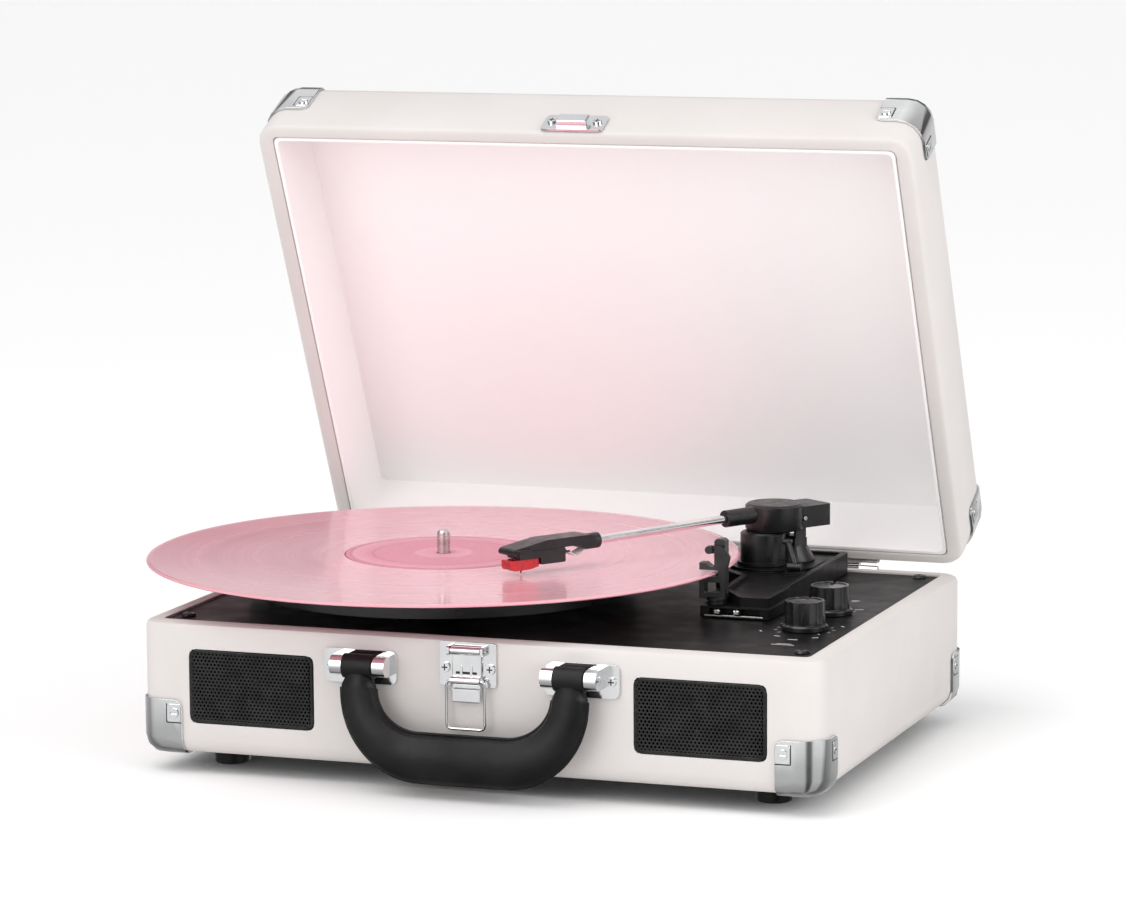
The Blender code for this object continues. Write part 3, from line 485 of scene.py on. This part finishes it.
# Each hole is a small hexagon inside the hexagon of sheet round it.
def punchedSheet(name, low, high):
    bm = bmesh.new()
    step, rise = grille["pitch"], grille["pitch"] * math.sqrt(3) / 2
    wide, tall = high.x - low.x - 2 * grille["margin"], high.z - low.z - 2 * grille["margin"]
    front = low.y + grille["sheet"]
    rows = int(tall / rise)
    for j in range(rows + 1):
        shift = step / 2 if j % 2 else 0
        z = (low.z + high.z - rows * rise) / 2 + j * rise
        count = int((wide - shift) / step)
        for i in range(count + 1):
            x = low.x + grille["margin"] + shift + i * step
            loops = []
            for reach in (step / math.sqrt(3), grille["hole"]):
                corners = [math.radians(60 * k + 30) for k in range(6)]
                loops.append([bm.verts.new((x + reach * math.cos(a), front, z + reach * math.sin(a)))
                              for a in corners])
            far, near = loops
            for k in range(6):
                n = (k + 1) % 6
                bm.faces.new((far[k], far[n], near[n], near[k]))
    bmesh.ops.remove_doubles(bm, verts=bm.verts, dist=0.02)
    bmesh.ops.scale(bm, vec=(mm, mm, mm), verts=bm.verts)
    return newMesh(bm, name)


# Points round a rectangle with rounded corners, from its middle, width, height and corner radius.
def roundedLoop(cx, cz, w, h, r, steps=6):
    loop = []
    for sx, sz, turn in ((1, 1, 0), (-1, 1, 90), (-1, -1, 180), (1, -1, 270)):
        for k in range(steps + 1):
            a = math.radians(turn + 90 * k / steps)
            loop.append((cx + sx * (w / 2 - r) + r * math.cos(a), cz + sz * (h / 2 - r) + r * math.sin(a)))
    return loop


def ringMesh(name, outer, inner, front, back):
    bm = bmesh.new()
    loops = [[bm.verts.new((x * mm, y * mm, z * mm)) for x, z in line]
             for line, y in ((outer, front), (inner, front), (inner, back), (outer, back))]
    count = len(outer)
    for k in range(4):
        here, after = loops[k], loops[(k + 1) % 4]
        for i in range(count):
            n = (i + 1) % count
            bm.faces.new((here[i], here[n], after[n], after[i]))
    mesh = newMesh(bm, name)
    smoothBy(mesh, 34)
    return mesh


for hand in ("left", "right"):
    low, high = cornersOf(f"speaker_grille_{hand}")
    middle = (low + high) / 2
    wide, tall = high.x - low.x, high.z - low.z
    mesh = punchedSheet(f"grilleSheet_{hand}", low, high)
    sheet = addPiece(mesh.name, mesh, "grillePaint", "case", [f"speaker_grille_{hand}"])
    thick = sheet.modifiers.new("thickness", "SOLIDIFY")
    thick.thickness = grille["thick"] * mm
    thick.offset = 0
    rim = 2 * grille["border"]
    outer = roundedLoop(middle.x, middle.z, wide, tall, grille["corner"])
    inner = roundedLoop(middle.x, middle.z, wide - rim, tall - rim, grille["innerCorner"])
    front, back = (low.y + depth for depth in grille["borderDepth"])
    mesh = ringMesh(f"grilleBorder_{hand}", outer, inner, front, back)
    rounded(addPiece(mesh.name, mesh, "grillePaint", "case"), 0.4)
    for which, (dx, dz) in grille["screws"].items():
        name = f"grilleScrew{which}_{hand}"
        screw = turnedMesh(name, grille["screwProfile"], 16)
        spot = Vector((middle.x + dx, low.y + grille["screwDepth"], middle.z + dz)) * mm
        screw.transform(Matrix.Translation(spot) @ Matrix.Rotation(math.pi / 2, 4, "X"))
        addPiece(name, screw, "blackScrew", "case")
print("grilles made")

# Leather handle, with a raised seam along its inner and outer edges.
handle = weldedCopy("carry_handle", False)
smoothBy(handle, 38)
rounded(addPiece("handleGrip", handle, "gripLeather", "handle_body", ["carry_handle"]),
        0.9, 38, True)

# Each half is a quarter turn, in which the grip swells and bows outward towards its middle.
seam = {"arcX": 22.3, "arcZ": 41.5, "arcR": 32.0, "halfGrip": 9.3, "swell": 3.0, "front": -138.2, "bow": 2.8,
        "sunk": 0.15, "wire": 0.75, "steps": 14}
for side, sign in (("Outer", 1), ("Inner", -1)):
    halfLine = []
    for i in range(seam["steps"] + 1):
        turn = i / seam["steps"] * math.pi / 2
        wide = seam["halfGrip"] + seam["swell"] * math.sin(turn) ** 1.5
        reach = seam["arcR"] + sign * (wide - seam["sunk"])
        halfLine.append((seam["arcX"] + reach * math.cos(turn), seam["front"] - seam["bow"] * math.sin(turn),
                         seam["arcZ"] - reach * math.sin(turn)))
    line = halfLine + [(-x, y, z) for x, y, z in reversed(halfLine)]
    tube(f"handleSeam{side}", line, seam["wire"], "gripLeather", "handle_body")
print("handle made")


# Printed bars and ticks on the deck round the knobs. A bar has its middle, length, width and turn in degrees,
# and a knob's row of ticks has its count, first bearing and the step to the next.
marks = {"deckZ": 65.02, "ink": 0.05, "reach": 14.2, "tick": (1.8, 0.45),
         "rows": {"volume": (11, 225, 27), "mode": (3, 135, 45)},
         "bars": [(123.5, -55.5, 2.6, 0.8, -50), (135, -66, 3.4, 0.9, -20), (145, -73, 5.0, 1.0, 0),
                  (154, -65, 3.4, 0.9, 30), (144.3, -87, 11.6, 0.8, 0), (144.3, -84.6, 7.5, 0.7, 0),
                  (144.5, 37.5, 4.5, 0.9, 0), (144.5, 35.2, 3.0, 0.7, 0), (153, 14, 4.6, 0.9, 25),
                  (131.5, 15, 4.0, 0.9, -25), (128.4, -33, 3.0, 0.8, 40), (158.5, -33, 3.0, 0.8, -40)]}


def flatMark(name, cx, cy, w, h, turn):
    bm = bmesh.new()
    outline = roundedLoop(0, 0, w, h, min(w, h) * 0.45, 3)
    face = bm.faces.new([bm.verts.new((x * mm, y * mm, 0)) for x, y in outline])
    made = bmesh.ops.extrude_face_region(bm, geom=[face])["geom"]
    raised = [v for v in made if isinstance(v, bmesh.types.BMVert)]
    bmesh.ops.translate(bm, vec=(0, 0, marks["ink"] * mm), verts=raised)
    mesh = newMesh(bm, name)
    spot = Vector((cx, cy, marks["deckZ"])) * mm
    mesh.transform(Matrix.Translation(spot) @ Matrix.Rotation(math.radians(turn), 4, "Z"))
    addPiece(name, mesh, "printWhite", "case")


for i, bar in enumerate(marks["bars"]):
    flatMark(f"deckMark_{i}", *bar)
for knob, (count, start, step) in marks["rows"].items():
    middle = jointSpot[f"{knob}_turn"]
    for i in range(count):
        a = math.radians(start - i * step)
        flatMark(f"{knob}Tick_{i}", middle.x + marks["reach"] * math.cos(a),
                 middle.y + marks["reach"] * math.sin(a), *marks["tick"], start - i * step)
print("marks made")

# Leads from the cartridge pins to the arm. A route point has its way along the arm from the stylus, how wide
# the leads spread there and its height.
lead = {"stylus": (0.8, -60.2), "pins": (-3.2, -1.1, 1.1, 3.2), "wire": 0.45,
        "route": [(25.6, 1.0, 96.3), (28.0, 1.0, 96.0), (30.0, 1.15, 93.7), (34.0, 1.05, 94.0),
                  (37.0, 0.7, 96.3), (39.1, 0.5, 97.4)]}
stylus = Vector((*lead["stylus"], 0))
towards = jointSpot["arm_yaw"] - stylus
armTurn = Matrix.Rotation(math.atan2(towards.y, towards.x), 3, "Z")
for i, pin in enumerate(lead["pins"]):
    line = [armTurn @ Vector((along, pin * spread, z)) + stylus for along, spread, z in lead["route"]]
    tube(f"armLead_{i}", line, lead["wire"], "leadWhite", "arm_body")
print("leads made")

# Screw tabs pressed into the corner protectors: a raised plate, a black strip of painted shade in the gap
# beside it, and a screw.
# What is on the lid is drawn on the closed lid, and turned up with it.
tab = {"width": 7.4, "height": 9.0, "proud": 0.3, "gap": 0.6, "screw": 2.2, "screwProud": 0.55, "into": 0.2,
       "fromEnd": 4.2, "fromRear": 5.6, "sunk": 0.9, "fromTop": 6.9, "lidZ": 91.0, "opened": 64.84}
low, high = cornersOf("case_corner_front_right")
tabFront = (low.x + tab["fromEnd"], -low.y - tab["sunk"])
tabSide = (high.x, -high.y + tab["fromRear"])
hinge = Matrix.Translation(jointSpot["lid_hinge"] * mm)
lidOpen = hinge @ Matrix.Rotation(math.radians(-tab["opened"]), 4, "X") @ hinge.inverted()


# A flat plate from its outline in x and z, between two depths.
def slab(bm, outline, front, back):
    near = [bm.verts.new((x * mm, front * mm, z * mm)) for x, z in outline]
    far = [bm.verts.new((x * mm, back * mm, z * mm)) for x, z in outline]
    bm.faces.new(near)
    bm.faces.new(list(reversed(far)))
    for i in range(len(outline)):
        n = (i + 1) % len(outline)
        bm.faces.new((near[n], near[i], far[i], far[n]))


def tabPiece(name, finish, body, place, slabs):
    bm = bmesh.new()
    for outline, front, back in slabs:
        slab(bm, outline, front, back)
    mesh = newMesh(bm, name)
    mesh.transform(place)
    smoothBy(mesh, 34)
    rounded(addPiece(name, mesh, finish, body), 0.12)


def screwTab(name, body, place, toCorner, toEnd, withScrew):
    w, h, gap, screw, into = tab["width"], tab["height"], tab["gap"], tab["screw"], tab["into"]
    plate = [(roundedLoop(0, 0, w, h, 1.4), -tab["proud"], into)]
    beside = roundedLoop(toCorner * (w + gap) / 2, 0, gap, h + gap, 0.2, 2)
    under = roundedLoop(0, toEnd * (h + gap) / 2, w + gap, gap, 0.2, 2)
    # Black strips beside and under the plate, and across the screw: painted shade in the gap and the screw's
    # slot.
    dark = [(beside, -0.08, into), (under, -0.08, into)]
    if withScrew:
        plate.append((roundedLoop(0, 0, 2 * screw, 2 * screw, screw * 0.98), -tab["screwProud"], into))
        dark.append((roundedLoop(0, 0, 3.0, 0.6, 0.2, 2), -tab["screwProud"] - 0.05, into))
    tabPiece("cornerTab_" + name, "chromePlate", body, place, plate)
    tabPiece("cornerGapShade_" + name, "conePaper", body, place, dark)


corners = {"FrontLeft": (-1, -1), "FrontRight": (1, -1), "RearLeft": (-1, 1), "RearRight": (1, 1)}
caseZ = high.z - tab["fromTop"]
for body, level, toEnd, lay in (("case", caseZ, -1, Matrix()), ("lid", tab["lidZ"], 1, lidOpen)):
    for where, (sx, sy) in corners.items():
        turn = 0 if sy < 0 else 180
        face = Matrix.Translation(Vector((sx * tabFront[0], sy * tabFront[1], level)) * mm)
        face = lay @ face @ Matrix.Rotation(math.radians(turn), 4, "Z")
        screwTab(f"{body}{where}_face", body, face, sx * -sy, toEnd, False)
        side = Matrix.Translation(Vector((sx * tabSide[0], sy * tabSide[1], level)) * mm)
        side = lay @ side @ Matrix.Rotation(math.radians(90 * sx), 4, "Z")
        screwTab(f"{body}{where}_side", body, side, sx * sy, toEnd, True)
print("corner tabs made")

# Cross slots in the plated screw heads, and the slot with two ribs in the latch lever, drawn in black as
# painted shade in the recesses. The lever's slot and its rib each have the height of their middle, then width
# and tallness.
heads = {"reach": 3.2, "wide": 0.7,
         "case": {"latchLeft": (-12.8, -130.2, 52.6), "latchRight": (10.4, -130.2, 52.6),
                  "mountLeft": (-72.3, -130.4, 50.3), "mountRight": (72.3, -130.4, 50.3)},
         "lid": {"catchLeft": (-14.2, -130.2, 75.0), "catchRight": (10.2, -130.2, 75.0)}}
for body, lay in (("case", Matrix()), ("lid", lidOpen)):
    for name, spot in heads[body].items():
        place = lay @ Matrix.Translation(Vector(spot) * mm)
        bars = [(roundedLoop(0, 0, heads["reach"], heads["wide"], 0.2, 2), -0.06, 0.3),
                (roundedLoop(0, 0, heads["wide"], heads["reach"], 0.2, 2), -0.05, 0.3)]
        tabPiece("screwCrossShade_" + name, "conePaper", body, place, bars)
lever = {"front": -131.0, "back": -130.8, "slot": (50.6, 11.0, 1.3), "ribs": (-2.6, 2.6),
         "rib": (51.6, 1.3, 5.2)}
leverX = jointSpot["latch_lever_swing"].x
slotLine = roundedLoop(leverX, *lever["slot"], 0.4, 3)
# A black plate of painted shade in the lever's slot.
tabPiece("leverSlotShade", "conePaper", "lever_body", Matrix(),
         [(slotLine, lever["front"] - 0.06, lever["back"])])
ribs = [(roundedLoop(leverX + dx, *lever["rib"], 0.5, 3), lever["front"] - 0.5, lever["back"])
        for dx in lever["ribs"]]
tabPiece("leverRibs", "chromePlate", "lever_body", Matrix(), ribs)

# A bright strip under the two switches of the tonearm base.
strip = {"x": 101.75, "wide": 30.5, "tall": 0.7, "up": 1.3, "proud": 0.25, "into": 0.4}
low, high = cornersOf("tonearm_plinth")
line = roundedLoop(strip["x"], low.z + strip["up"], strip["wide"], strip["tall"], 0.25, 2)
tabPiece("switchStrip", "turnedSteel", "case", Matrix(),
         [(line, low.y - strip["proud"], low.y + strip["into"])])
print("metal details made")

# Pale floor and soft studio light.
floorMesh = bpy.data.meshes.new("floor")
bm = bmesh.new()
bmesh.ops.create_grid(bm, x_segments=1, y_segments=1, size=30)
bm.to_mesh(floorMesh)
bm.free()
floor = bpy.data.objects.new("floor", floorMesh)
floor.location = (0, 0, cadBox[0][2] - 0.0001)
floor.visible_glossy = False
bpy.context.scene.collection.objects.link(floor)
floorPaint, tree, main = newFinish("floorPaint", {"Base Color": (0.97, 0.97, 0.97, 1), "Roughness": 0.6,
                                                 "Specular IOR Level": 0.1})
floorMesh.materials.append(floorPaint)
bpy.context.scene.view_settings.view_transform = "Standard"

# The surroundings are white. Gloss sees dark cards in them: by height from below to above, and by bearing.
cards = {"soft": 0.72, "behind": 1.0, "gloss": 1.0,
         "height": [(0.0, 0.30), (0.32, 0.50), (0.43, 0.92), (0.50, 0.95), (0.56, 0.85), (0.60, 0.16),
                    (0.68, 0.20), (0.74, 1.0), (1.0, 1.0)],
         "round": [(0.0, 0.40), (0.08, 0.9), (0.22, 1.0), (0.30, 0.95), (0.325, 0.16), (0.37, 0.22),
                   (0.40, 1.0), (0.49, 1.0), (0.55, 0.30), (0.67, 0.45), (0.78, 0.9), (0.93, 0.5),
                   (1.0, 0.40)]}
world = bpy.data.worlds.new("studio")
bpy.context.scene.world = world
world.use_nodes = True
tree = world.node_tree
split = tree.nodes.new("ShaderNodeSeparateXYZ")
tree.links.new(tree.nodes.new("ShaderNodeTexCoord").outputs["Generated"], split.inputs[0])
lift = sums(tree, "ADD", sums(tree, "MULTIPLY", split.outputs["Z"], 0.5), 0.5)
bearing = sums(tree, "ARCTAN2", split.outputs["Y"], split.outputs["X"])
bearing = sums(tree, "ADD", sums(tree, "DIVIDE", bearing, math.tau), 0.5)
tall = ramp(tree, lift, [(where, (grey, grey, grey)) for where, grey in cards["height"]])
around = ramp(tree, bearing, [(where, (grey, grey, grey)) for where, grey in cards["round"]])
path = tree.nodes.new("ShaderNodeLightPath")
soft = tree.nodes["Background"]
soft.inputs["Color"].default_value = (1, 1, 1, 1)
bright = sums(tree, "MULTIPLY", path.outputs["Is Camera Ray"], cards["behind"] - cards["soft"])
tree.links.new(sums(tree, "ADD", bright, cards["soft"]), soft.inputs["Strength"])
seen = tree.nodes.new("ShaderNodeBackground")
seen.inputs["Strength"].default_value = cards["gloss"]
tree.links.new(sums(tree, "MULTIPLY", tall, around), seen.inputs["Color"])
choose = tree.nodes.new("ShaderNodeMixShader")
tree.links.new(path.outputs["Is Glossy Ray"], choose.inputs[0])
tree.links.new(soft.outputs["Background"], choose.inputs[1])
tree.links.new(seen.outputs["Background"], choose.inputs[2])
tree.links.new(choose.outputs["Shader"], tree.nodes["World Output"].inputs["Surface"])

studio = {"front": {"kind": "AREA", "at": (-0.7, -2.3, 0.95), "size": 1.6, "power": 15},
          "right": {"kind": "AREA", "at": (2.1, -0.6, 0.95), "size": 1.2, "power": 18},
          "over": {"kind": "SUN", "at": (-0.7, -0.6, 2.2), "size": math.radians(50), "power": 1.0}}
for name, lamp in studio.items():
    light = bpy.data.lights.new(name, lamp["kind"])
    if lamp["kind"] == "AREA":
        light.size = lamp["size"]
    else:
        light.angle = lamp["size"]
    light.energy = lamp["power"]
    obj = bpy.data.objects.new(name, light)
    obj.location = lamp["at"]
    obj.rotation_euler = (Vector((0, 0, 0.1)) - Vector(lamp["at"])).to_track_quat("-Z", "Y").to_euler()
    bpy.context.scene.collection.objects.link(obj)

view = {"at": (0.78522, -2.15923, 0.4782), "yaw": 19.923, "pitch": -8.354, "roll": -0.378, "lens": 147.04,
        "shift": (-0.00183, 0.00131)}
lens = bpy.data.cameras.new("camera")
lens.lens = view["lens"]
lens.sensor_width = 36.0
lens.sensor_fit = "HORIZONTAL"
lens.shift_x, lens.shift_y = view["shift"]
camera = bpy.data.objects.new("camera", lens)
camera.matrix_world = (Matrix.Translation(view["at"]) @ Matrix.Rotation(math.radians(view["yaw"]), 4, "Z")
                       @ Matrix.Rotation(math.radians(90 + view["pitch"]), 4, "X")
                       @ Matrix.Rotation(math.radians(view["roll"]), 4, "Z"))
bpy.context.scene.collection.objects.link(camera)
bpy.context.scene.camera = camera
print("stage made")
